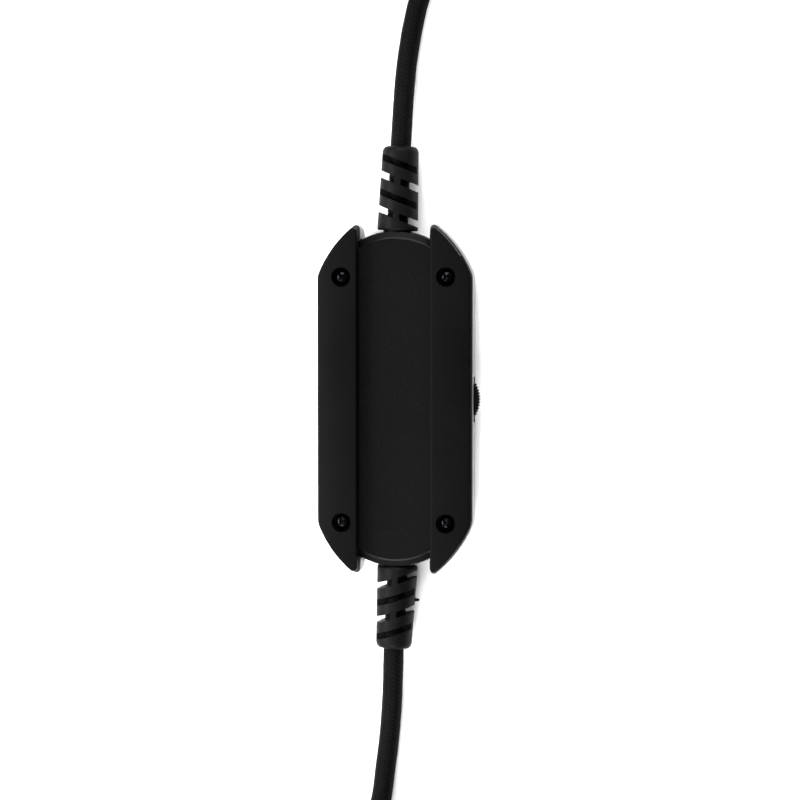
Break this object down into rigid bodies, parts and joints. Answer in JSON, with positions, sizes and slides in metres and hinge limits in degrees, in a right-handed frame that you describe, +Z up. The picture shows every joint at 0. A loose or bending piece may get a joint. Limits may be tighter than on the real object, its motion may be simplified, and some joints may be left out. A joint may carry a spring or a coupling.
{
  "type": "in-line headset control box",
  "caption": "In-line control box with horned crowned rear cover, edge thumb wheel, side mute slider, slotted strain reliefs and two braided leads wound in tied hanks.",
  "frame": {"origin": "centre of the flat front face that the box rests on, on the table's surface", "axes": "+X towards the side with the volume wheel, +Y along the box towards its upper lead, +Z up out of the rear cover"},
  "size_m": [0.041, 0.3539, 0.029],
  "materials": {
    "cover_plastic": "fine moulded grain, satin",
    "silver_plastic": "silver paint on plastic, satin",
    "wheel_rubber": "matte",
    "relief_rubber": "matte",
    "knob_plastic": "satin",
    "screw_steel": "black zinc",
    "bright_steel": "plain",
    "board": "solder mask",
    "chip": "matte",
    "capacitor": "sleeve",
    "contact_metal": "gold plated",
    "insulator": "gloss",
    "wire": "insulation",
    "braid": "braided sleeve",
    "strap": "hook and loop tape"
  },
  "bodies": {
    "housing": {"rear_cover": "cover_plastic", "front_shell": "silver_plastic", "cover_screws": "screw_steel", "circuit_board": "board", "board_screws": "bright_steel", "amplifier_chip": "chip", "capacitors": "capacitor", "potentiometer_body": "chip", "potentiometer_terminals": "contact_metal", "switch_body": "bright_steel", "switch_terminals": "contact_metal", "upper_strain_relief": "relief_rubber", "lower_strain_relief": "relief_rubber", "upper_crimp": "bright_steel", "lower_crimp": "bright_steel", "upper_conductors": "wire", "lower_conductors": "wire", "upper_lead": "braid", "lower_lead": "braid", "upper_hank": "braid", "lower_hank": "braid", "upper_tie": "strap", "lower_tie": "strap", "upper_plug_grip": "relief_rubber", "lower_plug_grip": "relief_rubber", "upper_plug_contacts": "contact_metal", "lower_plug_contacts": "contact_metal", "upper_plug_insulator": "insulator", "lower_plug_insulator": "insulator"},
    "wheel": {"volume_wheel": "wheel_rubber", "potentiometer_shaft": "bright_steel", "wheel_screw": "screw_steel"},
    "mute": {"mute_slider": "knob_plastic", "switch_lever": "chip"}
  },
  "joints": [
    {"name": "volume_turn", "type": "hinge", "parent": "housing", "child": "wheel", "pos_m": [0.01115, 0, 0.0064], "axis": [0, 0, 1], "range_deg": [-135, 135]},
    {"name": "mute_slide", "type": "slide", "parent": "housing", "child": "mute", "axis": [0, 1, 0], "range_m": [-0.001, 0.001]}
  ]
}
